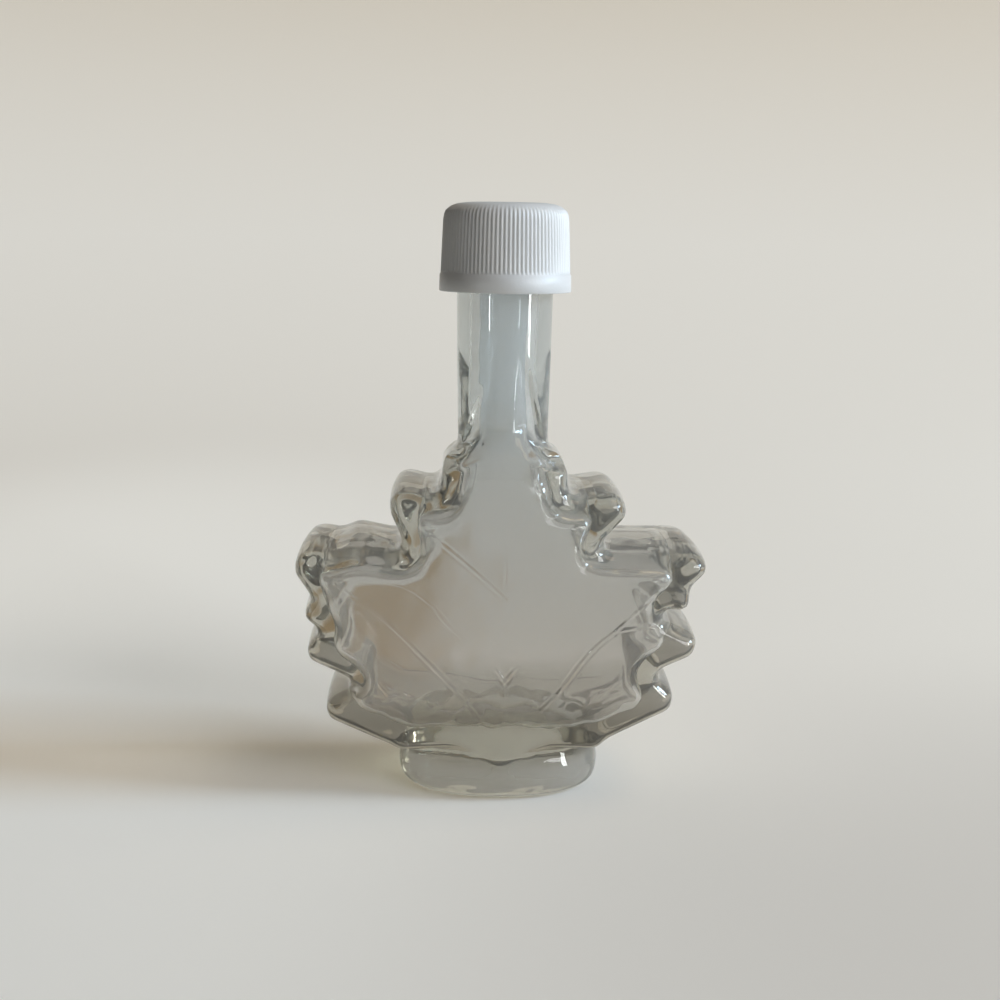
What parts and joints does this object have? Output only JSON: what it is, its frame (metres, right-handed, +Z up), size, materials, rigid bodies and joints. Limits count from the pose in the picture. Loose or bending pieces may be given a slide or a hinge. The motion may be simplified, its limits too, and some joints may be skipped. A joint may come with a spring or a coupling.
{
  "type": "glass bottle shaped as a maple leaf",
  "caption": "Flat flask of clear glass shaped as a maple leaf, with a round neck, an oval foot and a ribbed white screw cap. Empty.",
  "frame": {"origin": "middle of the foot's underside, on the surface the bottle stands on", "axes": "+Z up along the neck; the leaf's flat faces look along -Y (front) and +Y (back); +X to the right seen from the front"},
  "size_m": [0.0762, 0.0304, 0.1098],
  "materials": {
    "clear_glass": "smooth moulded glass, faintly green",
    "white_plastic": "satin moulded plastic"
  },
  "bodies": {
    "root": {"glass_bottle": "clear_glass", "screw_cap": "white_plastic"}
  },
  "joints": []
}
